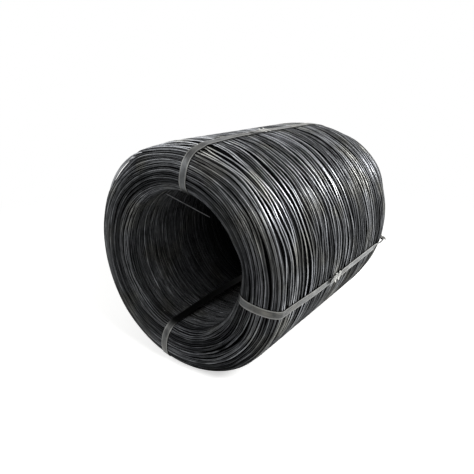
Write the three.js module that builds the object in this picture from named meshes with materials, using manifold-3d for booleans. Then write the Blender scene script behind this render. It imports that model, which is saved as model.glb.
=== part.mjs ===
// Coil of wire rod lying on its side, held by three flat steel straps with notched seals.
// Millimetres, +Z up. The coil's axis is along Y and its front end faces -Y.
// The origin is on the floor, under the middle of the coil.
import * as THREE from 'three';
import { mergeVertices } from 'three/addons/utils/BufferGeometryUtils.js';
import Module from 'manifold-3d';

const wasm = await Module();
wasm.setup();

// ---- The winding ----
const ROD_DIAMETER = 6.5;
const COIL_RADIUS = 480;            // over the outer turns, across the flats
const BORE_RADIUS = 292;            // at the lips of the bore
const COIL_LENGTH = 1260;           // from the crest of one end to the crest of the other
const LIP_DEPTH = 70;               // how far each end falls back from its crest to the bore
const FRONT_SHOULDER_WIDTH = 114;   // from the front crest out to the outer turns
const FRONT_SHOULDER_DEPTH = 57;
const REAR_SHOULDER_WIDTH = 107;
const REAR_SHOULDER_DEPTH = 332;    // the rear end is laid up as a long taper
const BORE_SAG = 14;                // the bore is this much wider between its lips
const BORE_SAG_LENGTH = 640;
const LIP_RIDGES = 8;               // rows of turns that show on each lip of the bore
const FRONT_RIDGES = 12;
const SIDE_BANDS = 12;
const REAR_RIDGES = 15;
const GROOVE_DEPTH = 6;             // between two rows of turns
const FLATS = 48;                   // flats round the coil, one of them at the bottom

// ---- The straps and their seals ----
const STRAP_WIDTH = 32;
const STRAP_THICKNESS = 0.9;
const STRAP_OVERLAP = 190;          // length over which a strap's two ends lie on each other
const JOGGLE_LENGTH = 12;           // a strap climbs from one layer to the next over this
const END_LIFT = 4;                 // how far a strap's outer end stands off the layer under it
const SWING_LENGTH = 400;           // from the front end, over which a strap swings to its own angle
const SWING_STEPS = 5;
const SEAL_SHEET = 0.9;
const SEAL_LENGTH = 74;
const SEAL_SLIT = 12;               // between the two flanges folded under the strap
const NOTCH_LENGTH = 11;
const NOTCH_DEPTH = 4.5;
const NOTCH_SPACING = 32;           // between the two pairs of notches
const TAB_LENGTH = 10;              // the seal's folded edge that a notch frees, laid out flat
const TAB_ANGLE = 40;               // degrees by which it is bent out
const CLEARANCE = 0.3;              // between any two pieces that lie on each other

// angle: degrees round the coil from the top, towards +X.
// frontAngle: the same, where the strap crosses the front end.
// freeEnd: from the front end to where the strap's outer end stops.
// seal: from the front end to the seal's middle.
// kink: a fold that stands off the rear shoulder, its tip and foot measured from the rear end.
const STRAPS = [
  { name: 'top', frontAngle: 10.2, angle: 6.5, freeEnd: 455, seal: 560 },
  {
    name: 'side', frontAngle: 99.5, angle: 102.5, freeEnd: 430, seal: 513,
    kink: { tip: 156, foot: 166, standOff: 20 },
  },
  { name: 'bottom', frontAngle: 191.8, angle: 195.5, freeEnd: 570, seal: 670 },
];

const steel = {
  rod: { color: 0x4b4c4e, roughness: 0.45, metalness: 0.9 },
  strap: { color: 0x85857f, roughness: 0.4, metalness: 0.9 },
  seal: { color: 0xb4b5b0, roughness: 0.3, metalness: 0.95 },
};

// ---- Section of the winding: x is the radius across the flats, y is along the coil ----
const frontCrest = COIL_RADIUS - FRONT_SHOULDER_WIDTH;
const rearCrest = COIL_RADIUS - REAR_SHOULDER_WIDTH;
const cornerScale = 1 / Math.cos(Math.PI / FLATS);   // the corners between two flats lie a little further out

// Inward from a curve that runs anticlockwise round the section.
function inward(tangent) {
  return new THREE.Vector2(-tangent.y, tangent.x);
}

// Rows of turns round an end, each a groove and then a crest.
// Even rows are all as wide; the others narrow towards the tighter end of an ellipse.
function ridges(curve, count, even = true) {
  const place = (t) => (even ? curve.getPointAt(t) : curve.getPoint(t));
  const tangent = (t) => (even ? curve.getTangentAt(t) : curve.getTangent(t));
  const points = [];
  for (let i = 0; i < count; i += 1) {
    const groove = i / count;
    points.push(place(groove).addScaledVector(inward(tangent(groove)), GROOVE_DEPTH));
    points.push(place((i + 0.5) / count));
  }
  return points;
}

// Flat bands of turns along a straight run, each a groove and then the band's two edges.
function bands(line, count) {
  const edge = ROD_DIAMETER / 2 / line.getLength();
  const points = [];
  for (let i = 0; i < count; i += 1) {
    const groove = i / count;
    points.push(line.getPoint(groove).addScaledVector(inward(line.getTangent(groove)), GROOVE_DEPTH));
    points.push(line.getPoint(groove + edge));
    points.push(line.getPoint((i + 1) / count - edge));
  }
  return points;
}

function windingSection() {
  const half = COIL_LENGTH / 2;
  const frontEdge = FRONT_SHOULDER_DEPTH - half;
  const rearEdge = half - REAR_SHOULDER_DEPTH;
  const quarter = Math.PI / 2;
  const frontLip = new THREE.EllipseCurve(frontCrest, LIP_DEPTH - half, frontCrest - BORE_RADIUS,
    LIP_DEPTH, 2 * quarter, 3 * quarter);
  const front = new THREE.EllipseCurve(frontCrest, frontEdge, FRONT_SHOULDER_WIDTH,
    FRONT_SHOULDER_DEPTH, 3 * quarter, 4 * quarter);
  const side = new THREE.LineCurve(new THREE.Vector2(COIL_RADIUS, frontEdge),
    new THREE.Vector2(COIL_RADIUS, rearEdge));
  const rear = new THREE.EllipseCurve(rearCrest, rearEdge, REAR_SHOULDER_WIDTH,
    REAR_SHOULDER_DEPTH, 0, quarter);
  const rearLip = new THREE.EllipseCurve(rearCrest, half - LIP_DEPTH, rearCrest - BORE_RADIUS,
    LIP_DEPTH, quarter, 2 * quarter);
  return [
    ...ridges(frontLip, LIP_RIDGES),
    ...ridges(front, FRONT_RIDGES),
    ...bands(side, SIDE_BANDS),
    ...ridges(rear, REAR_RIDGES, false),
    ...ridges(rearLip, LIP_RIDGES),
    rearLip.getPoint(1),
    new THREE.Vector2(BORE_RADIUS + BORE_SAG, BORE_SAG_LENGTH / 2),
    new THREE.Vector2(BORE_RADIUS + BORE_SAG, -BORE_SAG_LENGTH / 2),
  ];
}

const section = windingSection();

function windingGeometry() {
  const points = [...section, section[0]].map((p) => new THREE.Vector2(p.x * cornerScale, p.y));
  return new THREE.LatheGeometry(points, FLATS, Math.PI / FLATS);
}

// ---- Straps: x is along the coil, y is the radius ----
const outerSeat = COIL_RADIUS * cornerScale;

// The radius at which a strap, flat across its width, meets the winding whatever its angle is:
// by its middle on the corners outside the crests, and by its edges inside them.
function seatRadius({ x, y }) {
  const inside = x < (y < 0 ? frontCrest : rearCrest);
  return inside ? Math.sqrt(x ** 2 - (STRAP_WIDTH / 2) ** 2) : x * cornerScale;
}

// A taut strap follows the convex hull of the section it is pulled round (monotone chain).
function tautLoop() {
  const points = section.map((p) => new THREE.Vector2(p.y, seatRadius(p)));
  points.sort((a, b) => a.x - b.x || a.y - b.y);
  const chain = (list) => {
    const kept = [];
    for (const p of list) {
      while (kept.length > 1) {
        const a = kept[kept.length - 1];
        const b = kept[kept.length - 2];
        if ((a.x - b.x) * (p.y - b.y) - (a.y - b.y) * (p.x - b.x) > 0) break;
        kept.pop();
      }
      kept.push(p);
    }
    return kept.slice(0, -1);
  };
  return [...chain(points), ...chain([...points].reverse())];
}

// Moves each point of a line sideways, to its left, so that every stretch shifts by the distance.
function offsetLine(points, distance, closed) {
  const count = points.length;
  return points.map((p, i) => {
    const before = points[closed ? (i + count - 1) % count : Math.max(i - 1, 0)];
    const after = points[closed ? (i + 1) % count : Math.min(i + 1, count - 1)];
    const d1 = p.clone().sub(before).normalize();
    const d2 = after.clone().sub(p).normalize();
    if (d1.lengthSq() === 0) d1.copy(d2);
    if (d2.lengthSq() === 0) d2.copy(d1);
    const mitre = new THREE.Vector2(-(d1.y + d2.y), d1.x + d2.x);
    return p.clone().addScaledVector(mitre, distance / (1 + d1.dot(d2)));
  });
}

// Adds the points at which a swinging strap bends.
function stepped(line) {
  const places = Array.from({ length: SWING_STEPS }, (_, i) => {
    return ((i + 1) * SWING_LENGTH) / SWING_STEPS - COIL_LENGTH / 2;
  });
  return line.flatMap((p, i) => {
    const next = line[Math.min(i + 1, line.length - 1)];
    const crossed = places.filter((y) => (y - p.x) * (y - next.x) < 0);
    if (next.x < p.x) crossed.reverse();
    const radius = (y) => THREE.MathUtils.mapLinear(y, p.x, next.x, p.y, next.y);
    return [p, ...crossed.map((y) => new THREE.Vector2(y, radius(y)))];
  });
}

const layer = STRAP_THICKNESS + CLEARANCE;
const sealLift = SEAL_SHEET + CLEARANCE;

// The strap's middle line: from its inner end, forward, round the winding, and back over that end.
function strapLine({ freeEnd, seal, kink }) {
  const front = -COIL_LENGTH / 2;
  const rear = COIL_LENGTH / 2;
  const loop = offsetLine(tautLoop(), -(CLEARANCE + STRAP_THICKNESS / 2), true);
  const outer = outerSeat + CLEARANCE + STRAP_THICKNESS / 2;
  const at = (y, lift) => new THREE.Vector2(y, outer + lift);
  const onOuterRun = (p) => p.y > outer - CLEARANCE / 2;
  const frontCorner = loop.findIndex((p, i) => onOuterRun(p) && !onOuterRun(loop[(i + 1) % loop.length]));
  const round = [...loop.slice(frontCorner), ...loop.slice(0, frontCorner)];
  if (kink) {
    const next = round.findLastIndex((p) => p.x > rear - kink.foot) + 1;
    const onSurface = (y) => {
      const [a, b] = [round[next - 1], round[next]];
      return new THREE.Vector2(y, THREE.MathUtils.mapLinear(y, a.x, b.x, a.y, b.y));
    };
    const tip = onSurface(rear - kink.tip);
    tip.y += kink.standOff;
    round.splice(next, round.length - next - 1, onSurface(rear - kink.foot), tip);
  }
  const innerEnd = front + freeEnd + STRAP_OVERLAP;
  const sealRear = front + seal + SEAL_LENGTH / 2 + CLEARANCE;
  const sealFront = front + seal - SEAL_LENGTH / 2 - CLEARANCE;
  const throughSeal = (lift) => [
    at(sealRear + JOGGLE_LENGTH, lift),
    at(sealRear, lift + sealLift),
    at(sealFront, lift + sealLift),
  ];
  return stepped([
    at(innerEnd, 0),
    ...throughSeal(0),
    at(sealFront - JOGGLE_LENGTH, 0),
    ...round,
    at(innerEnd + JOGGLE_LENGTH, 0),
    at(innerEnd, layer),
    ...throughSeal(layer),
    at(front + freeEnd, layer + END_LIFT),
  ]);
}

// ---- Joining and cutting closed meshes ----
function solid(geometry) {
  const bare = geometry.clone();
  bare.deleteAttribute('normal');
  bare.deleteAttribute('uv');
  const merged = mergeVertices(bare);
  const vertProperties = new Float32Array(merged.attributes.position.array);
  const triVerts = new Uint32Array(merged.index.array);
  return new wasm.Manifold(new wasm.Mesh({ numProp: 3, vertProperties, triVerts }));
}

function geometryOf(manifold) {
  const mesh = manifold.getMesh();
  const geometry = new THREE.BufferGeometry();
  geometry.setAttribute('position', new THREE.BufferAttribute(new Float32Array(mesh.vertProperties), 3));
  geometry.setIndex(new THREE.BufferAttribute(new Uint32Array(mesh.triVerts), 1));
  geometry.computeVertexNormals();
  return geometry;
}

// The four notches of a joint: two pairs, one notch of each pair in either edge.
function notchPlaces(seal) {
  const middle = seal - COIL_LENGTH / 2;
  return [-1, 1].flatMap((end) => [-1, 1].map((edge) => ({ y: middle + (end * NOTCH_SPACING) / 2, edge })));
}

function cutNotches(body, seal) {
  const halfWidth = STRAP_WIDTH / 2 + CLEARANCE + SEAL_SHEET;
  const height = 4 * (layer + sealLift);
  let cut = body;
  for (const { y, edge } of notchPlaces(seal)) {
    const cutter = new THREE.BoxGeometry(NOTCH_LENGTH, height, 2 * NOTCH_DEPTH);
    cutter.translate(y, outerSeat + height / 2, edge * halfWidth);
    cut = cut.subtract(solid(cutter));
  }
  return cut;
}

// Turns each point of a strap about the coil's axis by what is left of its swing there.
function swing(geometry, { frontAngle, angle }) {
  const axis = new THREE.Vector3(1, 0, 0);
  const position = geometry.attributes.position;
  for (let i = 0; i < position.count; i += 1) {
    const p = new THREE.Vector3().fromBufferAttribute(position, i);
    const left = 1 - THREE.MathUtils.smoothstep(p.x + COIL_LENGTH / 2, 0, SWING_LENGTH);
    p.applyAxisAngle(axis, THREE.MathUtils.degToRad(left * (frontAngle - angle)));
    position.setXYZ(i, ...p);
  }
  return geometry;
}

function strapGeometry(strap) {
  const line = strapLine(strap);
  const near = offsetLine(line, STRAP_THICKNESS / 2, false);
  const far = offsetLine(line, -STRAP_THICKNESS / 2, false);
  const shape = new THREE.Shape([...far, ...near.reverse()]);
  const band = new THREE.ExtrudeGeometry(shape, { depth: STRAP_WIDTH, bevelEnabled: false });
  band.translate(0, 0, -STRAP_WIDTH / 2);
  return swing(geometryOf(cutNotches(solid(band), strap.seal)), strap);
}

// A seal is a sheet folded round both layers of the strap, with its notched tabs bent outward.
function sealGeometry({ seal }) {
  const inner = STRAP_WIDTH / 2 + CLEARANCE;
  const outer = inner + SEAL_SHEET;
  const bottom = outerSeat + CLEARANCE;
  const floor = bottom + SEAL_SHEET;
  const ceiling = floor + CLEARANCE + STRAP_THICKNESS + layer + CLEARANCE;
  const top = ceiling + SEAL_SHEET;
  const slit = SEAL_SLIT / 2;
  const right = [[slit, bottom], [outer, bottom], [outer, top]];
  const left = [[-outer, top], [-outer, bottom], [-slit, bottom]];
  const leftInside = [[-slit, floor], [-inner, floor], [-inner, ceiling]];
  const rightInside = [[inner, ceiling], [inner, floor], [slit, floor]];
  const outline = [...right, ...left, ...leftInside, ...rightInside];
  const shape = new THREE.Shape(outline.map(([x, y]) => new THREE.Vector2(x, y)));
  const sleeve = new THREE.ExtrudeGeometry(shape, { depth: SEAL_LENGTH, bevelEnabled: false });
  sleeve.translate(0, 0, -SEAL_LENGTH / 2);
  sleeve.rotateY(Math.PI / 2);
  sleeve.translate(seal - COIL_LENGTH / 2, 0, 0);
  let body = cutNotches(solid(sleeve), seal);
  for (const { y, edge } of notchPlaces(seal)) {
    const tab = new THREE.BoxGeometry(NOTCH_LENGTH, SEAL_SHEET, TAB_LENGTH);
    tab.translate(0, 0, (TAB_LENGTH - SEAL_SHEET) / 2);
    tab.rotateX(-THREE.MathUtils.degToRad(TAB_ANGLE));
    if (edge < 0) tab.rotateY(Math.PI);
    tab.translate(y, top - SEAL_SHEET / 2, edge * (outer - NOTCH_DEPTH));
    body = body.add(solid(tab));
  }
  return geometryOf(body);
}

// ---- The scene graph ----
function named(name, geometry, finish) {
  const mesh = new THREE.Mesh(geometry, new THREE.MeshStandardMaterial(finish));
  mesh.name = name;
  return mesh;
}

// Turns a piece drawn along the coil and outward from its axis to its angle.
function turnTo(mesh, angle) {
  const radians = THREE.MathUtils.degToRad(angle);
  const along = new THREE.Vector3(0, 1, 0);
  const outward = new THREE.Vector3(Math.sin(radians), 0, Math.cos(radians));
  const across = new THREE.Vector3().crossVectors(along, outward);
  mesh.quaternion.setFromRotationMatrix(new THREE.Matrix4().makeBasis(along, outward, across));
  return mesh;
}

const coil = new THREE.Group();
coil.position.z = COIL_RADIUS;
coil.add(named('rod_coil', windingGeometry(), steel.rod));
for (const strap of STRAPS) {
  coil.add(turnTo(named(`strap_${strap.name}`, strapGeometry(strap), steel.strap), strap.angle));
  coil.add(turnTo(named(`seal_${strap.name}`, sealGeometry(strap), steel.seal), strap.angle));
}

export default new THREE.Group().add(coil);
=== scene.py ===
import math

import bpy
from mathutils import Matrix, Vector


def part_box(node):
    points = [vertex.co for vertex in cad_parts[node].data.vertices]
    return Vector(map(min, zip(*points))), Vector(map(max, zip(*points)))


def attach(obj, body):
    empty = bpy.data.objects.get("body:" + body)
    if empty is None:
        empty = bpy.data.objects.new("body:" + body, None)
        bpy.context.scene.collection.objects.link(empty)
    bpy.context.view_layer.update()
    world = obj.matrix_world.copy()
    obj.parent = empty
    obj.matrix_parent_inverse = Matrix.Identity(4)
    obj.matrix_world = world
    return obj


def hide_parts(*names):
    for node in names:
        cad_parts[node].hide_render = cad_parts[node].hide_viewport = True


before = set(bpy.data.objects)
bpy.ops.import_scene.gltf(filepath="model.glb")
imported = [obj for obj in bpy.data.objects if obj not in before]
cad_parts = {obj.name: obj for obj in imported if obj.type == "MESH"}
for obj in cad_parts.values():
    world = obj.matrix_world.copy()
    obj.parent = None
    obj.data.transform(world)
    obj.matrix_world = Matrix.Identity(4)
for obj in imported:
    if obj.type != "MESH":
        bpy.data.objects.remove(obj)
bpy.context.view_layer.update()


def toLinear(hexColour):
    channels = [int(hexColour[i:i + 2], 16) / 255 for i in (1, 3, 5)]
    linear = [c / 12.92 if c <= 0.04045 else ((c + 0.055) / 1.055) ** 2.4 for c in channels]
    return (*linear, 1.0)


def shown(sockets, key):  # a socket by its number, or the one in use that has that name
    if isinstance(key, int):
        return sockets[key]
    return next(s for s in sockets if s.name == key and s.enabled)


def addNode(tree, kind, inputs=None, **settings):  # inputs are a list in order, or a dictionary by name
    node = tree.nodes.new(kind)
    for name, value in settings.items():
        setattr(node, name, value)
    if isinstance(inputs, list):
        inputs = dict(enumerate(inputs))
    for key, value in (inputs or {}).items():
        if isinstance(value, bpy.types.Node):  # a node gives its first output in use
            value = next(s for s in value.outputs if s.enabled)
        if isinstance(value, bpy.types.NodeSocket):
            tree.links.new(value, shown(node.inputs, key))
        else:
            shown(node.inputs, key).default_value = value
    return node


def newTree(name, inputs):  # a Geometry Nodes tree with named inputs
    tree = bpy.data.node_groups.new(name, "GeometryNodeTree")
    tree.interface.new_socket("Geometry", in_out="INPUT", socket_type="NodeSocketGeometry")
    for label, kind in inputs.items():
        tree.interface.new_socket(label, in_out="INPUT", socket_type="NodeSocket" + kind)
    tree.interface.new_socket("Geometry", in_out="OUTPUT", socket_type="NodeSocketGeometry")
    return tree, addNode(tree, "NodeGroupInput").outputs


def closeTree(tree, geometry, smooth, material):  # real geometry, shaded and with its material
    real = addNode(tree, "GeometryNodeRealizeInstances", {"Geometry": geometry})
    shaded = addNode(tree, "GeometryNodeSetShadeSmooth", {"Geometry": real, "Shade Smooth": smooth})
    painted = addNode(tree, "GeometryNodeSetMaterial", {"Geometry": shaded, "Material": material})
    addNode(tree, "NodeGroupOutput", {"Geometry": painted})


def addObject(name, data):
    added = bpy.data.objects.new(name, data)
    bpy.context.scene.collection.objects.link(added)
    return added


def baked(piece):  # a plain mesh of a piece with its modifiers
    graph = bpy.context.evaluated_depsgraph_get()
    return bpy.data.meshes.new_from_object(piece.evaluated_get(graph), depsgraph=graph)


def grow(name, mesh, tree, values):  # runs a tree on a mesh and keeps the result as a plain mesh
    source = addObject(name + "Source", mesh)
    modifier = source.modifiers.new("grow", "NODES")
    modifier.node_group = tree
    sockets = {s.name: s.identifier for s in tree.interface.items_tree if s.in_out == "INPUT"}
    for label, value in values.items():
        modifier[sockets[label]] = value
    grown = baked(source)
    bpy.data.objects.remove(source)
    grown.name = name
    return addObject(name, grown)


def newMaterial(name):
    material = bpy.data.materials.new(name)
    material.use_nodes = True
    material.node_tree.nodes.clear()
    return material, material.node_tree


def keep(piece, slot, *nodes):  # hangs a finished piece on the frame
    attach(piece, "root")
    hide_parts(*nodes)
    faces = sum(len(p.vertices) - 2 for p in piece.data.polygons)
    print("made", piece.name, faces, "triangles")


# The winding's section: x is the radius, y is along the coil.
winding = {
    "boreRadius": 0.292,        # at the lips
    "lipDepth": 0.070,
    "frontWidth": 0.114,        # front shoulder, from its crest out and back
    "frontDepth": 0.057,
    "rearWidth": 0.107,         # the rear end tapers
    "rearDepth": 0.332,
    "boreSag": 0.014,           # the bore is wider between its lips
    "boreSagLength": 0.640,
    "rodDiameter": 0.0065,
    "arcSteps": 48,
    "strapRoom": 0.0004,        # kept free at each end for the straps, inside the frame's box
    "rarity": 2.2,              # how much rarer bright turns are than dull ones
}
coilLow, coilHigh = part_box("rod_coil")
coilRadius = (coilHigh.x - coilLow.x) / 2
axisHeight = (coilHigh.z + coilLow.z) / 2
halfLength = (coilHigh.y - coilLow.y) / 2 - winding["strapRoom"]
rodRadius = winding["rodDiameter"] / 2


def quarter(centre, radii, first, offset=0.0):  # a quarter of an ellipse, pushed out by an offset
    points = []
    for i in range(winding["arcSteps"] + 1):
        angle = (first + i / winding["arcSteps"]) * math.pi / 2
        outward = Vector((math.cos(angle) / radii[0], math.sin(angle) / radii[1])).normalized()
        on = Vector((centre[0] + radii[0] * math.cos(angle), centre[1] + radii[1] * math.sin(angle)))
        points.append(on + outward * offset)
    return points


def endArcs(offset=0.0):  # the four rounded parts, from the front lip round the outside to the rear lip
    w = winding
    front = coilRadius - w["frontWidth"]
    rear = coilRadius - w["rearWidth"]
    return [
        quarter((front, w["lipDepth"] - halfLength), (front - w["boreRadius"], w["lipDepth"]), 2, offset),
        quarter((front, w["frontDepth"] - halfLength), (w["frontWidth"], w["frontDepth"]), 3, offset),
        quarter((rear, halfLength - w["rearDepth"]), (w["rearWidth"], w["rearDepth"]), 0, offset),
        quarter((rear, halfLength - w["lipDepth"]), (rear - w["boreRadius"], w["lipDepth"]), 1, offset),
    ]


def lengthOf(points):
    return sum((b - a).length for a, b in zip(points, points[1:]))


def sectionLine():  # the section, and how far along it each part starts; it passes the front a second time
    frontLip, front, rear, rearLip = endArcs()
    sagRadius = winding["boreRadius"] + winding["boreSag"]
    sag = [Vector((sagRadius, side * winding["boreSagLength"] / 2)) for side in (1, -1)]
    line = frontLip + front + rear + rearLip + sag + frontLip + front
    stops = {"frontLip": 0.0, "frontCrest": lengthOf(frontLip)}
    stops["side"] = stops["frontCrest"] + lengthOf(front)
    stops["bore"] = stops["side"] + (rear[0] - front[-1]).length + lengthOf(rear) + lengthOf(rearLip)
    stops["end"] = lengthOf(line) - lengthOf(frontLip) - lengthOf(front)
    stops["crest"] = stops["end"] + lengthOf(frontLip)
    stops["last"] = lengthOf(line)
    return line, stops


def polyline(name, points):  # a mesh of edges, for a tree to turn into a curve
    mesh = bpy.data.meshes.new(name)
    mesh.from_pydata(points, [(i, i + 1) for i in range(len(points) - 1)], [])
    return mesh


sectionPoints, stops = sectionLine()
sectionMesh = polyline("section", [(p.x, p.y, 0) for p in sectionPoints])
print("the winding's section is drawn")


# Where a strap has drawn a shoulder in, or turns have slumped or spread: angles are in degrees round the
# coil, from the top towards +X; the middle and the push are a radius and a place or way along the coil.
shoulderDent = {"middle": (0.474, -0.588), "reach": 0.085}
lipMiddle = (0.310, -0.600)
dents = {
    "topStrap": {**shoulderDent, "angle": 6, "halfWidth": 34, "push": (-0.015, 0)},
    "slump": {**shoulderDent, "angle": 317, "halfWidth": 18, "push": (-0.014, 0)},
    "leftSide": {**shoulderDent, "angle": 268, "halfWidth": 42, "push": (-0.007, 0)},
    "sideLip": {"middle": lipMiddle, "reach": 0.080, "angle": 86, "halfWidth": 26, "push": (0.010, 0)},
    "lowLip": {"middle": lipMiddle, "reach": 0.085, "angle": 124, "halfWidth": 50, "push": (-0.013, 0)},
    "rearSide": {"middle": (0.440, 0.540), "reach": 0.15, "angle": 90, "halfWidth": 38, "push": (-0.008, 0)},
    "rearTop": {"middle": (0.440, 0.550), "reach": 0.15, "angle": 46, "halfWidth": 26, "push": (0.011, 0)},
}


# Turns of rod. Each is a circle of points, and noise makes it wander along the section and rise or dip.
def windingTree():
    dentSizes = {"Side": "Vector", "Edge": "Float", "Middle": "Vector", "Reach": "Float", "Push": "Vector"}
    sizes = ("Rod Radius", "From", "To", "Lowest", "Highest", "Depth", "Row Drift", "Row Width",
             "Bunch Drift", "Bunch Width", "Stray", "Own Width", "Lift", "Hop", "Sway",
             "Dullest", "Brightest", "Axis Height")
    tree, given = newTree("woundTurns", {
        "Turns": "Int", "Segments": "Int", "Sides": "Int", "Seed": "Int", "Material": "Material",
        **dict.fromkeys(sizes, "Float"),
        **{name + " " + label: kind for name in dents for label, kind in dentSizes.items()}})
    ring = addNode(tree, "GeometryNodeCurvePrimitiveCircle", {
        "Resolution": given["Segments"], "Radius": 1.0})
    row = addNode(tree, "GeometryNodeMeshLine", {"Count": given["Turns"], "Offset": (0, 0, 0)})
    copies = addNode(tree, "GeometryNodeInstanceOnPoints", {"Points": row, "Instance": ring})
    rings = addNode(tree, "GeometryNodeRealizeInstances", {"Geometry": copies})

    index = addNode(tree, "GeometryNodeInputIndex")
    count = addNode(tree, "ShaderNodeMath", [index, given["Segments"]], operation="DIVIDE")
    turn = addNode(tree, "ShaderNodeMath", [count], operation="FLOOR")
    nominal = addNode(tree, "ShaderNodeMapRange", {
        "Value": turn, "From Min": -0.5, "From Max": given["Turns"],
        "To Min": given["From"], "To Max": given["To"]})
    around = addNode(tree, "GeometryNodeInputPosition")
    swayed = addNode(tree, "ShaderNodeVectorMath", {0: around, "Scale": given["Sway"]}, operation="SCALE")
    totals = {"along": nominal, "rise": 0.0}
    drifts = [("along", "Row Drift", "Row Width"), ("along", "Bunch Drift", "Bunch Width"),
              ("along", "Stray", "Own Width"), ("rise", "Lift", "Bunch Width"), ("rise", "Hop", "Own Width")]
    for step, (total, amount, width) in enumerate(drifts):
        across = addNode(tree, "ShaderNodeMath", [nominal, given[width]], operation="DIVIDE")
        shift = addNode(tree, "ShaderNodeCombineXYZ", {"Z": across})
        place = addNode(tree, "ShaderNodeVectorMath", [swayed, shift], operation="ADD")
        seed = addNode(tree, "ShaderNodeMath", [given["Seed"], 3.7, 10.0 * step], operation="MULTIPLY_ADD")
        field = addNode(tree, "ShaderNodeTexNoise", {
            "Vector": place, "W": seed, "Scale": 1.0, "Detail": 2.0}, noise_dimensions="4D")
        centred = addNode(tree, "ShaderNodeMath", [field, 0.5], operation="SUBTRACT")
        totals[total] = addNode(tree, "ShaderNodeMath", [
            centred, given[amount], totals[total]], operation="MULTIPLY_ADD")

    dipped = addNode(tree, "ShaderNodeMath", [given["Depth"], totals["rise"]], operation="SUBTRACT")
    depth = addNode(tree, "ShaderNodeMath", [dipped, given["Rod Radius"]], operation="MAXIMUM")

    line = addNode(tree, "GeometryNodeMeshToCurve", {"Mesh": given["Geometry"]})
    held = addNode(tree, "ShaderNodeClamp", [totals["along"], given["Lowest"], given["Highest"]])
    found = addNode(tree, "GeometryNodeSampleCurve", {"Curves": line, "Length": held}, mode="LENGTH").outputs
    at = addNode(tree, "ShaderNodeSeparateXYZ", [found["Position"]]).outputs
    way = addNode(tree, "ShaderNodeSeparateXYZ", [found["Tangent"]]).outputs
    inward = addNode(tree, "ShaderNodeMath", [way["Y"], depth], operation="MULTIPLY")
    radius = addNode(tree, "ShaderNodeMath", [at["X"], inward], operation="SUBTRACT")
    axial = addNode(tree, "ShaderNodeMath", [way["X"], depth, at["Y"]], operation="MULTIPLY_ADD")

    # the dents: how far round from the middle of each, and how far off in the section
    inSection = addNode(tree, "ShaderNodeCombineXYZ", [radius, axial])
    pushed = inSection
    for name in dents:
        side, edge, middle, reach, push = (given[name + " " + label] for label in dentSizes)
        aside = addNode(tree, "ShaderNodeVectorMath", [around, side], operation="DOT_PRODUCT")
        facing = addNode(tree, "ShaderNodeMapRange", {
            "Value": aside, "From Min": edge}, interpolation_type="SMOOTHSTEP")
        off = addNode(tree, "ShaderNodeVectorMath", [inSection, middle], operation="DISTANCE")
        near = addNode(tree, "ShaderNodeMapRange", {
            "Value": off, "From Min": reach, "From Max": 0.0}, interpolation_type="SMOOTHSTEP")
        amount = addNode(tree, "ShaderNodeMath", [facing, near], operation="MULTIPLY")
        push = addNode(tree, "ShaderNodeVectorMath", {0: push, "Scale": amount}, operation="SCALE")
        pushed = addNode(tree, "ShaderNodeVectorMath", [pushed, push], operation="ADD")
    dented = addNode(tree, "ShaderNodeSeparateXYZ", [pushed]).outputs

    circle = addNode(tree, "ShaderNodeSeparateXYZ", [around]).outputs
    sideways = addNode(tree, "ShaderNodeMath", [dented["X"], circle["Y"]], operation="MULTIPLY")
    below = addNode(tree, "ShaderNodeMath", [dented["X"], circle["X"]], operation="MULTIPLY")
    height = addNode(tree, "ShaderNodeMath", [given["Axis Height"], below], operation="SUBTRACT")
    place = addNode(tree, "ShaderNodeCombineXYZ", [sideways, dented["Y"], height])

    chance = addNode(tree, "FunctionNodeRandomValue", {"ID": turn, "Seed": given["Seed"]}, data_type="FLOAT")
    rare = addNode(tree, "ShaderNodeMath", [chance, winding["rarity"]], operation="POWER")
    tone = addNode(tree, "ShaderNodeMapRange", {
        "Value": rare, "To Min": given["Dullest"], "To Max": given["Brightest"]})
    lane = addNode(tree, "ShaderNodeCombineXYZ", [circle["X"], circle["Y"], turn])
    marked = rings
    for label, value, kind in (("tone", tone, "FLOAT"), ("lane", lane, "FLOAT_VECTOR")):
        marked = addNode(tree, "GeometryNodeStoreNamedAttribute", {
            "Geometry": marked, "Name": label, "Value": value}, data_type=kind, domain="POINT")
    placed = addNode(tree, "GeometryNodeSetPosition", {"Geometry": marked, "Position": place})
    profile = addNode(tree, "GeometryNodeCurvePrimitiveCircle", {
        "Resolution": given["Sides"], "Radius": given["Rod Radius"]})
    rods = addNode(tree, "GeometryNodeCurveToMesh", {"Curve": placed, "Profile Curve": profile})
    closeTree(tree, rods, True, given["Material"])
    return tree


# Rod: low-carbon steel, hot rolled and annealed. Its mill scale is near black and satin, rubbed thin in
# patches, on some turns more than on others, with a faint olive or blue cast from place to place.
rodSteel = {
    "scale": "#08090a",      # mill scale that nothing has rubbed
    "rubbedAndEdgeSheen": "#a6a8ab",     # steel where the scale has been rubbed thin
    "olive": "#a5a5a1",      # oily scale
    "blue": "#a1a3a8",       # thin blue oxide
    "rim": "#202020",        # what scale mirrors where it is seen nearly edge on
    "patch": 0.18,           # length along a turn over which its shine changes, in parts of its radius
    "turnShift": 3.71,       # from one turn's patches to the next one's
    "patchShine": (0.35, 1.65),
    "castSize": 0.16,        # how wide a patch of olive or blue is
    "roughness": (0.45, 0.30),
}
# Painted shade: how much of its shine a turn keeps from place to place; outside it is less at the front
# face, at the rear and towards the floor, and in the bore it is less deeper in.
outerPaintedShade = {
    "atFront": 0.38, "inMiddle": 1.1, "atRear": 0.75, "atFloor": 0.05,
    "front": (-0.63, -0.57), "rear": (0.0, 0.5), "height": 0.62,    # over these stretches it changes
}
borePaintedShade = {                # painted shade: darker deeper in, and none of the bore is lower than the height
    "atFront": 0.70, "inMiddle": 0.03, "atRear": 0.03, "atFloor": 0.03,
    "front": (-0.50, 0.05), "rear": (0.05, 0.63), "height": 0.1,
}


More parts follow.
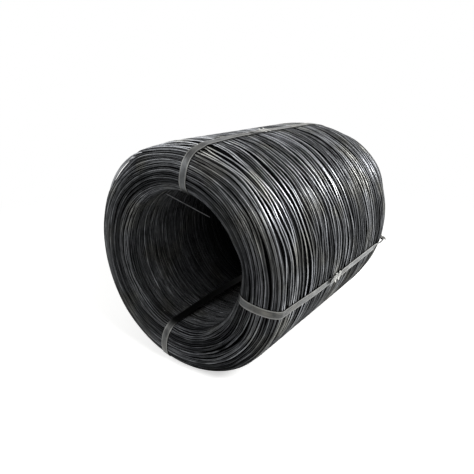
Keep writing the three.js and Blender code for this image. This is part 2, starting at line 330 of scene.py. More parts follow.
def annealedRod(name, stretch):
    material, tree = newMaterial(name)
    tone = addNode(tree, "ShaderNodeAttribute", attribute_name="tone").outputs["Fac"]
    lane = addNode(tree, "ShaderNodeAttribute", attribute_name="lane").outputs["Vector"]
    patch = 1 / rodSteel["patch"]
    stretched = addNode(tree, "ShaderNodeVectorMath", [
        lane, (patch, patch, rodSteel["turnShift"])], operation="MULTIPLY")
    wear = addNode(tree, "ShaderNodeTexNoise", {
        "Vector": stretched, "Scale": 1.0, "Detail": 3.0, "Roughness": 0.6})
    least, most = rodSteel["patchShine"]
    worn = addNode(tree, "ShaderNodeMapRange", {
        "Value": wear, "From Min": 0.3, "From Max": 0.7, "To Min": least, "To Max": most})
    place = addNode(tree, "ShaderNodeTexCoord").outputs["Object"]
    spot = addNode(tree, "ShaderNodeSeparateXYZ", [place]).outputs
    # painted shade by place: the front, rear and height factors pull the turns towards the scale colour
    start, end = stretch["rear"]
    rear = addNode(tree, "ShaderNodeMapRange", {
        "Value": spot["Y"], "From Min": start, "From Max": end,
        "To Min": stretch["inMiddle"], "To Max": stretch["atRear"]})
    low = addNode(tree, "ShaderNodeMapRange", {
        "Value": spot["Z"], "From Max": stretch["height"], "To Min": stretch["atFloor"], "To Max": rear})
    start, end = stretch["front"]
    left = addNode(tree, "ShaderNodeMapRange", {
        "Value": spot["Y"], "From Min": start, "From Max": end, "To Min": stretch["atFront"], "To Max": low})
    shine = addNode(tree, "ShaderNodeMath", [tone, worn], operation="MULTIPLY")
    kept = addNode(tree, "ShaderNodeMath", [shine, left], operation="MULTIPLY", use_clamp=True)
    cast = addNode(tree, "ShaderNodeTexNoise", {
        "Vector": place, "Scale": 1 / rodSteel["castSize"], "Detail": 2.0})
    bare = addNode(tree, "ShaderNodeValToRGB", {"Fac": cast})
    casts = [(0.36, "olive"), (0.48, "rubbedAndEdgeSheen"), (0.54, "rubbedAndEdgeSheen"), (0.66, "blue")]
    while len(bare.color_ramp.elements) < len(casts):
        bare.color_ramp.elements.new(0.5)
    for element, (position, colourName) in zip(bare.color_ramp.elements, casts):
        element.position = position
        element.color = toLinear(rodSteel[colourName])
    colour = addNode(tree, "ShaderNodeMix", {
        "Factor": kept, "A": toLinear(rodSteel["scale"]), "B": bare}, data_type="RGBA")
    dull, bright = rodSteel["roughness"]
    rough = addNode(tree, "ShaderNodeMapRange", {"Value": kept, "To Min": dull, "To Max": bright})
    shader = addNode(tree, "ShaderNodeBsdfPrincipled", {
        "Base Color": colour, "Metallic": 0.95, "Roughness": rough, "Specular IOR Level": 0.2,
        "Specular Tint": toLinear(rodSteel["rim"])})
    addNode(tree, "ShaderNodeOutputMaterial", {"Surface": shader})
    return material


# the two finishes differ only in where their painted shade falls
rodFinish = annealedRod("annealedRod", outerPaintedShade)
boreFinish = annealedRod("borePaintedShadeRod", borePaintedShade)

# Layers of turns. Each has its turns between two stops of the section, at a depth below it. Drifts, stray,
# lift and hop are how far noise moves them, and widths are how soon along the section it changes. The turns
# at the lip and in the deeper layers get darker tones: painted shade between the outer turns.
common = {
    "Segments": 128, "Sides": 6, "Row Drift": 0.036, "Row Width": 0.12, "Bunch Width": 0.04,
    "Own Width": 0.0013, "Lift": 0.0, "Sway": 1.4, "Dullest": 0.0,
}
windings = {
    "lipTurns": {
        "From": "end", "To": "crest", "Turns": 16, "Depth": 0.0040,
        "Row Drift": 0.012, "Bunch Drift": 0.012, "Bunch Width": 0.05, "Stray": 0.020,
        "Hop": 0.008, "Dullest": 0.07, "Brightest": 0.40},
    "faceTurns": {
        "From": "frontCrest", "To": "side", "Turns": 19, "Depth": 0.0040,
        "Row Drift": 0.014, "Bunch Drift": 0.014, "Bunch Width": 0.05, "Stray": 0.024,
        "Hop": 0.008, "Dullest": 0.10, "Brightest": 0.80},
    "looseTurns": {
        "From": "side", "To": "bore", "Turns": 60, "Depth": 0.0034,
        "Row Drift": 0.05, "Bunch Drift": 0.03, "Bunch Width": 0.07, "Stray": 0.060,
        "Hop": 0.006, "Sway": 1.5, "Dullest": 0.24, "Brightest": 0.92},
    # painted shade: sideTurns, underTurns and deepTurns are darker the deeper they lie
    "sideTurns": {
        "From": "side", "To": "bore", "Turns": 106, "Depth": 0.0095,
        "Bunch Drift": 0.028, "Bunch Width": 0.05, "Stray": 0.023,
        "Lift": 0.006, "Hop": 0.010, "Sway": 1.6, "Brightest": 0.27},
    "underTurns": {
        "From": "frontLip", "To": "bore", "Turns": 164, "Segments": 96, "Sides": 5, "Depth": 0.0155,
        "Row Drift": 0.026, "Bunch Drift": 0.018, "Stray": 0.016,
        "Lift": 0.005, "Hop": 0.010, "Sway": 1.5, "Brightest": 0.08},
    "deepTurns": {
        "From": "frontLip", "To": "bore", "Turns": 250, "Segments": 80, "Sides": 4, "Depth": 0.0220,
        "Row Drift": 0.010, "Bunch Drift": 0.003, "Stray": 0.005,
        "Lift": 0.003, "Hop": 0.005, "Sway": 1.0, "Brightest": 0.02},
    "boreTurns": {
        "From": "bore", "To": "end", "Turns": 145, "Segments": 96, "Sides": 5, "Depth": 0.0046,
        "Row Drift": 0.026, "Bunch Drift": 0.010, "Stray": 0.022,
        "Lift": 0.006, "Hop": 0.010, "Dullest": 0.14, "Brightest": 0.42},
    # painted shade: a dark tone for the shade under the bore's outer turns
    "boreDeepTurns": {
        "From": "bore", "To": "end", "Turns": 190, "Segments": 80, "Sides": 4, "Depth": 0.0105,
        "Row Drift": 0.010, "Bunch Drift": 0.003, "Stray": 0.003,
        "Lift": 0.004, "Hop": 0.004, "Sway": 1.0, "Dullest": 0.03, "Brightest": 0.09},
}


def windCoil():
    tree = windingTree()
    dentInputs = {}
    for name, dent in dents.items():
        side = math.radians(dent["angle"])
        dentInputs[name + " Side"] = (-math.cos(side), math.sin(side), 0.0)
        dentInputs[name + " Edge"] = math.cos(math.radians(dent["halfWidth"]))
        dentInputs[name + " Middle"] = (*dent["middle"], 0.0)
        dentInputs[name + " Reach"] = dent["reach"]
        dentInputs[name + " Push"] = (*dent["push"], 0.0)
    for number, (name, values) in enumerate(windings.items()):
        lowest, highest = ("bore", "last") if values["From"] in ("bore", "end") else ("frontLip", "bore")
        inputs = {**common, **values, **dentInputs, "From": stops[values["From"]], "To": stops[values["To"]],
                  "Lowest": stops[lowest] + rodRadius, "Highest": stops[highest] - rodRadius,
                  "Rod Radius": rodRadius, "Axis Height": axisHeight, "Seed": number + 1,
                  "Material": boreFinish if values["From"] == "bore" else rodFinish}
        keep(grow(name, sectionMesh, tree, inputs), "rod", "rod_coil")


windCoil()

# Straps: their lines are points with x along the coil and y out from its axis.
strapping = {
    "width": 0.032, "thickness": 0.0009, "clearance": 0.0003,
    "overlap": 0.190,           # length over which the two ends lie on each other
    "joggle": 0.012,            # a strap climbs from one layer to the next over this
    "swingLength": 0.400,       # from the front end, over which a strap swings to its own angle
    "foldRadius": 0.004,
    "step": 0.006,              # longest stretch without a point
    "edgeRadius": 0.0003,
    "ripple": 0.0004, "rippleLength": 0.05,
}
straps = {                      # angles are in degrees round the coil, from the top towards +X
    "top": {
        "frontAngle": 10.2, "angle": 6.5, "freeEnd": 0.455, "seal": 0.560, "endLift": 0.004, "upEdge": -1},
    "side": {
        "frontAngle": 100.3, "angle": 102.5, "freeEnd": 0.430, "seal": 0.513, "endLift": 0.009, "upEdge": 1,
        # it stands off in a hooked fold; the fold's line runs this much outward, along and round
        "kink": {
            "tip": 0.177, "foot": 0.181, "bend": 0.185, "standOff": 0.0183, "bendOff": 0.0104,
            "aside": -0.0142, "foldLine": (-0.213, 0.98, 0.25),
            "twistAhead": (0.075, 0.070), "twistBehind": (0.024, 0.060)},   # held, then eased off
    },
    "bottom": {
        "frontAngle": 191.8, "angle": 195.5, "freeEnd": 0.570, "seal": 0.670, "endLift": 0.004, "upEdge": 1},
}
seals = {
    "sheet": 0.0009, "length": 0.074, "slit": 0.012, "cornerRadius": 0.0013,
    "notchLength": 0.011, "notchDepth": 0.0045, "notchSpacing": 0.032,
    "tabLength": 0.010, "tabUp": 26, "tabDown": -18, "tabSide": 0.0003, "tabRoot": 0.0006,
    "strapTab": {"drop": 0.0016, "length": 0.7, "bend": 0.6},    # the strap's own tab, under the seal's
    "crease": 0.0007, "creaseWidth": 0.004,     # pressed across the seal from notch to notch
    "cutBelow": 0.002, "cutAbove": 0.012, "cutBeyond": 0.004,    # how far the notch cutter reaches
}
corners = [v.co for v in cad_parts["rod_coil"].data.vertices]
cornerRadius = max(math.hypot(c.x, c.z - axisHeight) for c in corners)   # over the frame's flats
outerRun = cornerRadius + strapping["clearance"] + strapping["thickness"] / 2
layer = strapping["thickness"] + strapping["clearance"]
sealLift = seals["sheet"] + strapping["clearance"]


def eased(points, radius, steps=6):  # rounds the sharp corners of a line
    line = [points[0]]
    for before, corner, after in zip(points, points[1:], points[2:]):
        back, ahead = before - corner, after - corner
        bend = math.pi - back.angle(ahead)
        if bend < 0.2:
            line.append(corner)
            continue
        reach = min(radius * math.tan(bend / 2), 0.45 * back.length, 0.45 * ahead.length)
        start, end = corner + back.normalized() * reach, corner + ahead.normalized() * reach
        for i in range(steps + 1):
            t = i / steps
            line.append(start * (1 - t) ** 2 + corner * 2 * t * (1 - t) + end * t ** 2)
    return line + [points[-1]]


def divided(points, step):  # adds points, so that no stretch is longer than a step
    line = []
    for a, b in zip(points, points[1:]):
        count = max(1, math.ceil((b - a).length / step))
        line += [a.lerp(b, i / count) for i in range(count)]
    return line + [points[-1]]


def strapLine(strap):  # from the inner end, forward, round the winding, and back over that end
    seat = strapping["clearance"] + strapping["thickness"] / 2
    half = strapping["width"] / 2
    frontLip, front, rear, rearLip = endArcs(seat)
    spread = cornerRadius / coilRadius
    outside = [[Vector((p.y, p.x * spread)) for p in reversed(arc)] for arc in (front, rear)]
    inside = [[Vector((p.y, math.sqrt(p.x ** 2 - half ** 2))) for p in reversed(arc)]
              for arc in (frontLip, rearLip)]
    shoulder = outside[1]
    if "kink" in strap:
        kink = strap["kink"]
        foot, tip, bend = (halfLength - kink[name] for name in ("foot", "tip", "bend"))
        behind = [p for p in shoulder if p.x > tip]
        ahead = next(p for p in shoulder if p.x <= tip)
        rise = (ahead.y - behind[-1].y) / (ahead.x - behind[-1].x)
        hook = [Vector((y, ahead.y + rise * (y - ahead.x) + off))
                for y, off in ((foot, 0), (tip, kink["standOff"]), (bend, kink["bendOff"]))]
        shoulder = behind + hook + [shoulder[-1]]
    innerEnd = strap["freeEnd"] + strapping["overlap"] - halfLength
    sealRear = strap["seal"] - halfLength + seals["length"] / 2 + strapping["clearance"]
    sealFront = strap["seal"] - halfLength - seals["length"] / 2 - strapping["clearance"]

    def throughSeal(lift):
        level = outerRun + lift + sealLift
        return [Vector((sealRear + strapping["joggle"], outerRun + lift)),
                Vector((sealRear, level)), Vector((sealFront, level))]

    line = [Vector((innerEnd, outerRun))] + throughSeal(0)
    line += [Vector((sealFront - strapping["joggle"], outerRun))]
    line += outside[0] + inside[0] + inside[1] + shoulder
    line += [Vector((innerEnd + strapping["joggle"], outerRun)), Vector((innerEnd, outerRun + layer))]
    line += throughSeal(layer)
    line += [Vector((strap["freeEnd"] - halfLength, outerRun + layer + strap["endLift"]))]
    return divided(eased(line, strapping["foldRadius"]), strapping["step"])


def smoothstep(t):
    t = min(1.0, max(0.0, t))
    return t * t * (3 - 2 * t)


def dentedAt(angle, p):  # where the dents bring a point of a section; x is along the coil, y the radius
    moved = p.copy()
    for dent in dents.values():
        edge = math.cos(math.radians(dent["halfWidth"]))
        facing = smoothstep((math.cos(math.radians(angle - dent["angle"])) - edge) / (1 - edge))
        radius, along = dent["middle"]
        near = smoothstep(1 - math.hypot(p.y - radius, p.x - along) / dent["reach"])
        moved += facing * near * Vector((dent["push"][1], dent["push"][0]))
    return moved


def outwardAt(degrees):
    turn = math.radians(degrees)
    return Vector((math.sin(turn), 0, math.cos(turn)))


def acrossAt(degrees):
    turn = math.radians(degrees)
    return Vector((math.cos(turn), 0, -math.sin(turn)))


def onCoil(degrees, y, radius):  # a place by its angle round the coil, its distance along and its radius
    return outwardAt(degrees) * radius + Vector((0, y, axisHeight))


def strapPath(name, strap):  # the strap's line in space, with the direction across it at each point
    points, angles = [], []
    for p in strapLine(strap):
        left = 1 - smoothstep((p.x + halfLength) / strapping["swingLength"])
        angle = strap["angle"] + left * (strap["frontAngle"] - strap["angle"])
        p = dentedAt(angle, p)
        points.append(onCoil(angle, p.x, p.y))
        angles.append(angle)
    across = [acrossAt(angle) for angle in angles]
    if "kink" in strap:
        twistAtKink(points, angles, across, strap["kink"])
    return path(name, points, across)


def twistAtKink(points, angles, across, kink):  # moves the strap aside at the tip and twists it round there
    near = [i for i, p in enumerate(points) if abs(p.y - halfLength + kink["tip"]) < strapping["width"] / 2]
    tip = max(near, key=lambda i: math.hypot(points[i].x, points[i].z - axisHeight))
    runs = [-lengthOf(points[i:tip + 1]) for i in range(tip)]
    runs += [lengthOf(points[tip:i + 1]) for i in range(tip, len(points))]
    hook = kink["bend"] - kink["tip"] + (kink["standOff"] - kink["bendOff"]) / 2
    shares = []
    for i, run in enumerate(runs):
        held, easing = kink["twistAhead"] if run > 0 else kink["twistBehind"]
        shares.append(1 - smoothstep((abs(run) - held) / easing))
        moved = max(0.0, 1 - run / hook) if run > 0 else shares[i]
        points[i] = points[i] + acrossAt(angles[i]) * kink["aside"] * moved
    outPart, alongPart, roundPart = kink["foldLine"]
    for i in range(1, len(points) - 1):
        twisted = outwardAt(angles[i]) * outPart + Vector((0, alongPart, 0))
        twisted += acrossAt(angles[i]) * roundPart
        tangent = (points[i + 1] - points[i - 1]).normalized()
        side = across[i].lerp(twisted, shares[i])
        across[i] = (side - tangent * side.dot(tangent)).normalized()


def path(name, points, across=None):  # a polyline with the direction across it, by default the coil's own
    mesh = polyline(name, points)
    across = across or [Vector((0, 1, 0))] * len(points)
    attribute = mesh.attributes.new("across", "FLOAT_VECTOR", "POINT")
    attribute.data.foreach_set("vector", [c for v in across for c in v])
    return mesh


# A strip or rod that follows a path: a rounded rectangle, its width along the path's own direction across.
def stripTree():
    tree, given = newTree("formedStrip", {
        "Width": "Float", "Thickness": "Float", "Edge Radius": "Float", "Edge Steps": "Int",
        "Ripple": "Float", "Ripple Length": "Float", "Smooth": "Bool", "Material": "Material"})
    line = addNode(tree, "GeometryNodeMeshToCurve", {"Mesh": given["Geometry"]})
    across = addNode(tree, "GeometryNodeInputNamedAttribute", {"Name": "across"}, data_type="FLOAT_VECTOR")
    run = addNode(tree, "GeometryNodeSplineParameter").outputs["Length"]
    measured = addNode(tree, "GeometryNodeStoreNamedAttribute", {
        "Geometry": line, "Name": "along", "Value": run}, data_type="FLOAT", domain="POINT")
    facing = addNode(tree, "GeometryNodeSetCurveNormal", {"Curve": measured, "Normal": across}, mode="FREE")
    tangent = addNode(tree, "GeometryNodeInputTangent")
    upward = addNode(tree, "ShaderNodeVectorMath", [across, tangent], operation="CROSS_PRODUCT")
    size = addNode(tree, "ShaderNodeMath", [1.0, given["Ripple Length"]], operation="DIVIDE")
    place = addNode(tree, "GeometryNodeInputPosition")
    field = addNode(tree, "ShaderNodeTexNoise", {"Vector": place, "Scale": size, "Detail": 1.0})
    centred = addNode(tree, "ShaderNodeMath", [field, 0.5], operation="SUBTRACT")
    height = addNode(tree, "ShaderNodeMath", [centred, given["Ripple"]], operation="MULTIPLY")
    offset = addNode(tree, "ShaderNodeVectorMath", {0: upward, "Scale": height}, operation="SCALE")
    rippled = addNode(tree, "GeometryNodeSetPosition", {"Geometry": facing, "Offset": offset})
    block = addNode(tree, "GeometryNodeCurvePrimitiveQuadrilateral", {
        "Width": given["Width"], "Height": given["Thickness"]})
    rounded = addNode(tree, "GeometryNodeFilletCurve", {
        "Curve": block, "Count": given["Edge Steps"], "Radius": given["Edge Radius"]}, mode="POLY")
    corner = addNode(tree, "ShaderNodeSeparateXYZ", [place]).outputs["X"]
    aside = addNode(tree, "GeometryNodeStoreNamedAttribute", {
        "Geometry": rounded, "Name": "aside", "Value": corner}, data_type="FLOAT", domain="POINT")
    strip = addNode(tree, "GeometryNodeCurveToMesh", {
        "Curve": rippled, "Profile Curve": aside, "Fill Caps": True})
    closeTree(tree, strip, given["Smooth"], given["Material"])
    return tree


strips = stripTree()


def notchPlaces(strap):
    middle = strap["seal"] - halfLength
    return [(middle + end * seals["notchSpacing"] / 2, edge) for end in (-1, 1) for edge in (-1, 1)]


def onSeal(strap, y, aside, radius):  # a place by its distance along, across and out from the axis
    return outwardAt(strap["angle"]) * radius + acrossAt(strap["angle"]) * aside + Vector((0, y, axisHeight))


def notched(piece, strap):  # cuts the four notches through a strap or seal
    outer = strapping["width"] / 2 + strapping["clearance"] + seals["sheet"]
    low, high = cornerRadius - seals["cutBelow"], cornerRadius + seals["cutAbove"]
    points, faces = [], []
    for y, edge in notchPlaces(strap):
        first = len(points)
        inner, beyond = edge * (outer - seals["notchDepth"]), edge * (outer + seals["cutBeyond"])
        for radius in (low, high):
            for aside, side in ((inner, -1), (beyond, -1), (beyond, 1), (inner, 1)):
                points.append(onSeal(strap, y + side * seals["notchLength"] / 2, aside, radius))
        box = [(0, 1, 2, 3), (7, 6, 5, 4), (0, 4, 5, 1), (1, 5, 6, 2), (2, 6, 7, 3), (3, 7, 4, 0)]
        faces += [tuple(first + i for i in (corner if edge > 0 else corner[::-1])) for corner in box]
    mesh = bpy.data.meshes.new("notchCutter")
    mesh.from_pydata(points, [], faces)
    cutter = addObject("notchCutter", mesh)
    cut = piece.modifiers.new("notches", "BOOLEAN")
    cut.object = cutter
    cut.operation = "DIFFERENCE"
    cut.solver = "EXACT"
    result = baked(piece)
    piece.modifiers.remove(cut)
    piece.data = result
    result.name = piece.name
    bpy.data.objects.remove(cutter)
    return piece


# Strapping: cold-rolled steel, zinc coated and weathered to a satin grey, with lengthwise rolling lines, a
# painted highlight along its edges, and painted shade towards the front of the coil and in the bore. A seal
# is the same sheet, newer, with bright sheared tabs.
strapSteel = {
    # the last two colours are a painted highlight along the edges and painted shade
    "dull": "#5b5c5c", "clear": "#8f9294", "oiled": "#94928b", "edge": "#b8b8b5", "paintedShade": "#0c0c0c",
    "cleanAndLit": (-0.66, 0.20),     # painted shade: along the coil, from where it is darkest to where there is none
    # painted shade: the share of the strap's own colour left where it is darkest, at the front
    "leastLit": 0.30,
    "boreLit": 0.05,          # painted shade: the run through the bore is painted near black
    "boreShadeFade": 0.03,
    "lineSpacing": 0.0022,      # between rolling lines, drawn coarse enough to show
    "lineLength": 0.060,
    "stainSize": 0.045,
    "castSize": 0.20,           # between patches of clean zinc and oily ones
    "rubbedAndEdgeSheen": (0.0060, 0.0010),  # from its edges: where the painted edge highlight begins, and where it is full
    "roughness": (0.50, 0.36),
}
sealSteel = {
    **strapSteel, "dull": "#646462", "clear": "#949592", "oiled": "#96958f", "edge": "#b8b8b4",
    "cleanAndLit": (-2.0, 0.0), "lineSpacing": 0.0018, "lineLength": 0.030, "stainSize": 0.020,
    "roughness": (0.42, 0.26), "tabDull": "#c8c8c4", "tabBright": "#eeeeeb",
}


def rolledSteel(name, finish, width):
    material, tree = newMaterial(name)
    along = addNode(tree, "ShaderNodeAttribute", attribute_name="along").outputs["Fac"]
    aside = addNode(tree, "ShaderNodeAttribute", attribute_name="aside").outputs["Fac"]
    place = addNode(tree, "ShaderNodeTexCoord").outputs["Object"]
    flat = addNode(tree, "ShaderNodeCombineXYZ", [along, aside])
    grain = (1 / finish["lineLength"], 1 / finish["lineSpacing"], 1.0)
    stretched = addNode(tree, "ShaderNodeVectorMath", [flat, grain], operation="MULTIPLY")
    lines = addNode(tree, "ShaderNodeTexNoise", {"Vector": stretched, "Scale": 1.0, "Detail": 4.0})
    stains = addNode(tree, "ShaderNodeTexNoise", {
        "Vector": place, "Scale": 1 / finish["stainSize"], "Detail": 3.0, "Roughness": 0.6})
    both = addNode(tree, "ShaderNodeMath", [lines, stains], operation="ADD")
    cleanAndLit = addNode(tree, "ShaderNodeMapRange", {"Value": both, "From Min": 0.8, "From Max": 1.25})
    cast = addNode(tree, "ShaderNodeTexNoise", {"Vector": place, "Scale": 1 / finish["castSize"]})
    oily = addNode(tree, "ShaderNodeMapRange", {"Value": cast, "From Min": 0.42, "From Max": 0.56})
    zinc = addNode(tree, "ShaderNodeMix", {
        "Factor": oily, "A": toLinear(finish["clear"]), "B": toLinear(finish["oiled"])}, data_type="RGBA")
    surface = addNode(tree, "ShaderNodeMix", {
        "Factor": cleanAndLit, "A": toLinear(finish["dull"]), "B": zinc}, data_type="RGBA")
    # painted highlight: the strap's colour lightens towards the edge colour near both edges
    out = addNode(tree, "ShaderNodeMath", [aside], operation="ABSOLUTE")
    begins, full = finish["rubbedAndEdgeSheen"]
    rubbedAndEdgeSheen = addNode(tree, "ShaderNodeMapRange", {
        "Value": out, "From Min": width / 2 - begins, "From Max": width / 2 - full})
    bare = addNode(tree, "ShaderNodeMix", {
        "Factor": rubbedAndEdgeSheen, "A": surface, "B": toLinear(finish["edge"])}, data_type="RGBA")
    # painted shade: the strap darkens in the bore and towards the front of the coil
    fromAxis = addNode(tree, "ShaderNodeVectorMath", [
        place, (1, 0, 1), (0, 0, -axisHeight)], operation="MULTIPLY_ADD")
    radius = addNode(tree, "ShaderNodeVectorMath", [fromAxis], operation="LENGTH")
    mouth = winding["boreRadius"]
    outside = addNode(tree, "ShaderNodeMapRange", {
        "Value": radius, "From Min": mouth, "From Max": mouth + finish["boreShadeFade"],
        "To Min": finish["boreLit"]})
    y = addNode(tree, "ShaderNodeSeparateXYZ", [place]).outputs["Y"]
    start, end = finish["cleanAndLit"]
    rearward = addNode(tree, "ShaderNodeMapRange", {
        "Value": y, "From Min": start, "From Max": end, "To Min": finish["leastLit"]})
    litShare = addNode(tree, "ShaderNodeMath", [outside, rearward], operation="MULTIPLY")
    colour = addNode(tree, "ShaderNodeMix", {
        "Factor": litShare, "A": toLinear(finish["paintedShade"]), "B": bare}, data_type="RGBA")
    dull, bright = finish["roughness"]
    rough = addNode(tree, "ShaderNodeMapRange", {"Value": cleanAndLit, "To Min": dull, "To Max": bright})
    bump = addNode(tree, "ShaderNodeBump", {"Height": lines, "Distance": 0.0001, "Strength": 0.5})
    shader = addNode(tree, "ShaderNodeBsdfPrincipled", {
        "Base Color": colour, "Metallic": 0.9, "Roughness": rough, "Normal": bump})
    addNode(tree, "ShaderNodeOutputMaterial", {"Surface": shader})
    return material


strapFinish = rolledSteel("zincedStrapping", strapSteel, strapping["width"])
sealFinish = rolledSteel("zincSheet", sealSteel, seals["length"])


def shearedSteel():  # the seal's tabs: bare steel where the notcher's jaws have sheared and burnished it; on the creases it is a painted highlight
    material, tree = newMaterial("shearedSteel")
    aside = addNode(tree, "ShaderNodeAttribute", attribute_name="aside").outputs["Fac"]
    lines = addNode(tree, "ShaderNodeCombineXYZ", [aside])
    scored = addNode(tree, "ShaderNodeTexNoise", {"Vector": lines, "Scale": 900.0, "Detail": 2.0})
    dull, bright = toLinear(sealSteel["tabDull"]), toLinear(sealSteel["tabBright"])
    colour = addNode(tree, "ShaderNodeMix", {"Factor": scored, "A": dull, "B": bright}, data_type="RGBA")
    rough = addNode(tree, "ShaderNodeMapRange", {"Value": scored, "To Min": 0.35, "To Max": 0.2})
    shader = addNode(tree, "ShaderNodeBsdfPrincipled", {
        "Base Color": colour, "Metallic": 1.0, "Roughness": rough})
    addNode(tree, "ShaderNodeOutputMaterial", {"Surface": shader})
    return material


tabFinish = shearedSteel()


def sealFold(strap):  # the seal's sheet, folded round both layers of the strap
    half = strapping["width"] / 2 + strapping["clearance"] + seals["sheet"] / 2
    bottom = cornerRadius + strapping["clearance"] + seals["sheet"] / 2
    top = bottom + seals["sheet"] + 2 * strapping["clearance"] + strapping["thickness"] + layer
    slit = seals["slit"] / 2
    outline = [Vector(p) for p in ((slit, bottom), (half, bottom), (half, top), (-half, top),
                                   (-half, bottom), (-slit, bottom))]
    middle = strap["seal"] - halfLength
    fold = [onSeal(strap, middle, p.x, p.y) for p in eased(outline, seals["cornerRadius"], 4)]
    return fold, top


def tabFold(strap, y, edge, root, length, angle):  # a tab, bent from its root and a little more at its tip
    points = []
    for i in range(5):
        t = i / 4
        bend = math.radians(angle) * (0.7 + 0.3 * t)
        points.append(Vector((root[0] + length * t * math.cos(bend), root[1] + length * t * math.sin(bend))))
    return [onSeal(strap, y, edge * p.x, p.y) for p in points]


def creaseLine(strap, y, half, level):  # rises from the sheet near one notch and sinks near the other
    shares = [i / 6 - 1 for i in range(13)]
    return [onSeal(strap, y, t * half, level + seals["crease"] * (1 - t ** 4)) for t in shares]


def joined(pieces):  # makes one object of several
    with bpy.context.temp_override(active_object=pieces[0], selected_editable_objects=pieces):
        bpy.ops.object.join()
    return pieces[0]


def strapAndSeal(name, strap):
    flat = {"Smooth": False, "Edge Steps": 2, "Edge Radius": strapping["edgeRadius"]}
    band = {**flat, "Width": strapping["width"], "Thickness": strapping["thickness"],
            "Ripple": strapping["ripple"], "Ripple Length": strapping["rippleLength"],
            "Material": strapFinish}
    piece = grow("strap_" + name + "_formed", strapPath(name, strap), strips, band)
    keep(notched(piece, strap), "strap", "strap_" + name)

    fold, top = sealFold(strap)
    sheet = {**flat, "Width": seals["length"], "Thickness": seals["sheet"], "Material": sealFinish}
    body = grow("seal_" + name + "_formed", path(name, fold), strips, sheet)
    parts = [notched(body, strap)]
    outer = strapping["width"] / 2 + strapping["clearance"] + seals["sheet"]
    under = seals["strapTab"]
    for y, edge in notchPlaces(strap):
        bend = seals["tabUp"] if edge == strap["upEdge"] else seals["tabDown"]
        tabs = [(top, seals["tabLength"], bend),
                (top - under["drop"], under["length"] * seals["tabLength"], under["bend"] * bend)]
        for level, length, angle in tabs:
            root = (outer - seals["notchDepth"] - seals["tabRoot"], level)
            fold = tabFold(strap, y, edge, root, length, angle)
            tab = {**sheet, "Width": seals["notchLength"] - 2 * seals["tabSide"], "Material": tabFinish}
            parts.append(grow("tab", path("tab", fold), strips, tab))
    for end in (-1, 1):
        y = strap["seal"] - halfLength + end * seals["notchSpacing"] / 2
        line = creaseLine(strap, y, outer - seals["notchDepth"], top)
        # painted highlight: the crease takes the tabs' bright finish for the light its ridge catches
        crease = {**sheet, "Width": seals["creaseWidth"], "Material": tabFinish}
        parts.append(grow("crease", path("crease", line), strips, crease))
    keep(joined(parts), "seal", "seal_" + name)


for name, strap in straps.items():
    strapAndSeal(name, strap)


# Loose rods: a straight length fallen across the bore, and two turns that have sprung up at the slump.
looseRods = {                   # each end: degrees round the coil, place along it, radius
    "boreStray": {"from": (-30.5, -0.505, 0.2880), "to": (-88.0, -0.054, 0.2885)},
    "sprungTurn": {
        "from": (298, -0.5936, 0.4600), "to": (338, -0.5960, 0.4690), "bow": 0.0057, "tuck": 0.008},
    "sprungTurnBelow": {
        "from": (302, -0.5990, 0.4540), "to": (334, -0.6010, 0.4610), "bow": 0.0045, "tuck": 0.006},
}
looseSteps = 40


def looseSteel():  # the same annealed rod, one length of it, rubbed by handling
    material, tree = newMaterial("handledRod")
    along = addNode(tree, "ShaderNodeAttribute", attribute_name="along").outputs["Fac"]
    lanes = addNode(tree, "ShaderNodeCombineXYZ", [along])
    wear = addNode(tree, "ShaderNodeTexNoise", {"Vector": lanes, "Scale": 12.0, "Detail": 3.0})
    worn = addNode(tree, "ShaderNodeMapRange", {
        "Value": wear, "From Min": 0.3, "From Max": 0.7, "To Min": 0.3, "To Max": 0.8})
    dull, bright = toLinear(rodSteel["scale"]), toLinear(rodSteel["rubbedAndEdgeSheen"])
    colour = addNode(tree, "ShaderNodeMix", {"Factor": worn, "A": dull, "B": bright}, data_type="RGBA")
    shader = addNode(tree, "ShaderNodeBsdfPrincipled", {
        "Base Color": colour, "Metallic": 0.9, "Roughness": 0.35})
    addNode(tree, "ShaderNodeOutputMaterial", {"Surface": shader})
    return material


looseFinish = looseSteel()


def layLooseRods():
    values = {"Width": 2 * rodRadius, "Thickness": 2 * rodRadius, "Edge Radius": 0.99 * rodRadius,
              "Edge Steps": 2, "Smooth": True, "Material": looseFinish}
    for name, rod in looseRods.items():
        points = []
        for i in range(looseSteps + 1):
            t = i / looseSteps
            if "bow" not in rod:
                points.append(onCoil(*rod["from"]).lerp(onCoil(*rod["to"]), t))
                continue
            angle, y, radius = (a + (b - a) * t for a, b in zip(rod["from"], rod["to"]))
            radius += rod["bow"] * math.sin(math.pi * t) - rod["tuck"] * abs(2 * t - 1) ** 6
            points.append(onCoil(angle, y, radius))
        keep(grow(name, path(name, points), strips, values), "rod", "rod_coil")


layLooseRods()

shot = {                        # angles in degrees, the lens and the sensor in millimetres
    "azimuth": 32.99, "elevation": 18.03, "distance": 2.311,
    "pan": -2.98, "tilt": -1.37, "lens": 35.06, "sensor": 36.0,
}


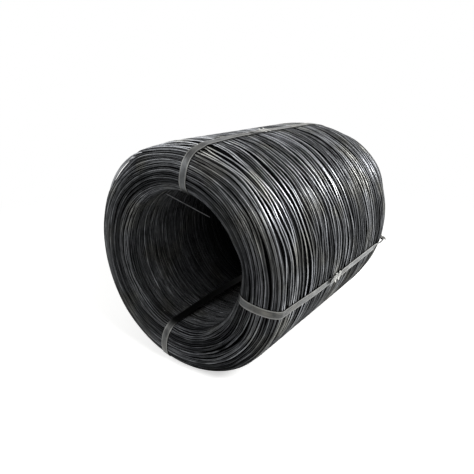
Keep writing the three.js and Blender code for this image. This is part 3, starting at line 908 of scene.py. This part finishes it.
def placeCamera():
    azimuth, elevation = math.radians(shot["azimuth"]), math.radians(shot["elevation"])
    back = Vector((math.sin(azimuth) * math.cos(elevation),
                   -math.cos(azimuth) * math.cos(elevation), math.sin(elevation)))
    eye = Vector((0, 0, axisHeight)) + back * shot["distance"]
    ahead = -back
    right = ahead.cross(Vector((0, 0, 1))).normalized()
    pan, tilt = math.radians(shot["pan"]), math.radians(shot["tilt"])
    ahead = (ahead * math.cos(pan) + right * math.sin(pan)).normalized()
    right = ahead.cross(Vector((0, 0, 1))).normalized()
    up = right.cross(ahead)
    ahead = (ahead * math.cos(tilt) + up * math.sin(tilt)).normalized()
    up = right.cross(ahead)
    data = bpy.data.cameras.new("camera")
    data.lens = shot["lens"]
    data.sensor_width = shot["sensor"]
    camera = addObject("camera", data)
    turn = Matrix((right, up, -ahead)).transposed()
    camera.matrix_world = Matrix.Translation(eye) @ turn.to_4x4()
    bpy.context.scene.camera = camera


placeCamera()

studio = {
    "ambient": 0.28,            # what lights the coil from all round
    "floorColour": "#e9e9e7",
    "floorGlow": 0.6,           # how white the floor looks where it is in shade
    "shadowReach": (1.2, 3.2),  # the shaded floor fades to plain white between these distances
    "floorReach": 20,
    "floorDrop": 0.0005,        # keeps the floor clear of the coil's lowest flat
}
lamps = {
    "key": {"place": (2.4, -0.45, 2.55), "size": (2.4, 1.1), "watts": 135},
    "fill": {"place": (-1.9, -2.3, 2.1), "size": (2.5, 2.0), "watts": 42},
}


def seenDirectly(tree):  # 1 for rays from the camera, and for mirrored and transmitted ones
    ray = addNode(tree, "ShaderNodeLightPath").outputs
    both = addNode(tree, "ShaderNodeMath", [ray["Is Camera Ray"], ray["Is Glossy Ray"]], operation="MAXIMUM")
    return addNode(tree, "ShaderNodeMath", [both, ray["Is Transmission Ray"]], operation="MAXIMUM")


def whiteWorld():
    world = bpy.data.worlds.new("studio")
    bpy.context.scene.world = world
    world.use_nodes = True
    tree = world.node_tree
    tree.nodes.clear()
    ambient = addNode(tree, "ShaderNodeBackground", {"Strength": studio["ambient"], "Color": (1, 1, 1, 1)})
    white = addNode(tree, "ShaderNodeBackground", {"Strength": 1.0, "Color": (1, 1, 1, 1)})
    mixed = addNode(tree, "ShaderNodeMixShader", [seenDirectly(tree), ambient, white])
    addNode(tree, "ShaderNodeOutputWorld", {"Surface": mixed})


def paperFloor():  # matt white paper: shaded near the coil, plain white further off
    material, tree = newMaterial("paperFloor")
    paper = toLinear(studio["floorColour"])
    plain = addNode(tree, "ShaderNodeBsdfDiffuse", {"Color": paper})
    glow = addNode(tree, "ShaderNodeEmission", {"Strength": studio["floorGlow"], "Color": (1, 1, 1, 1)})
    shaded = addNode(tree, "ShaderNodeAddShader", [plain, glow])
    white = addNode(tree, "ShaderNodeEmission", {"Strength": 1.0, "Color": (1, 1, 1, 1)})
    place = addNode(tree, "ShaderNodeTexCoord").outputs["Object"]
    reach = addNode(tree, "ShaderNodeVectorMath", [place], operation="LENGTH")
    near, far = studio["shadowReach"]
    fade = addNode(tree, "ShaderNodeMapRange", {
        "Value": reach, "From Min": near, "From Max": far}, interpolation_type="SMOOTHSTEP")
    faded = addNode(tree, "ShaderNodeMixShader", [fade, shaded, white])
    seen = addNode(tree, "ShaderNodeMixShader", [seenDirectly(tree), plain, faded])
    addNode(tree, "ShaderNodeOutputMaterial", {"Surface": seen})
    return material


def paleFloor():
    reach = studio["floorReach"]
    corners = [(x * reach, y * reach, -studio["floorDrop"]) for x, y in ((-1, -1), (1, -1), (1, 1), (-1, 1))]
    mesh = bpy.data.meshes.new("floor")
    mesh.from_pydata(corners, [], [(0, 1, 2, 3)])
    mesh.materials.append(paperFloor())
    floor = addObject("floor", mesh)


def areaLight(name, values):
    data = bpy.data.lights.new(name, "AREA")
    data.shape = "RECTANGLE"
    data.size, data.size_y = values["size"]
    data.energy = values["watts"]
    lamp = addObject(name, data)
    lamp.location = values["place"]
    aim = Vector((0, 0, axisHeight)) - Vector(values["place"])
    lamp.rotation_euler = aim.to_track_quat("-Z", "Y").to_euler()


whiteWorld()
paleFloor()
for name, values in lamps.items():
    areaLight(name, values)
bpy.context.scene.view_settings.view_transform = "Standard"
print("the camera, floor and lights are set")
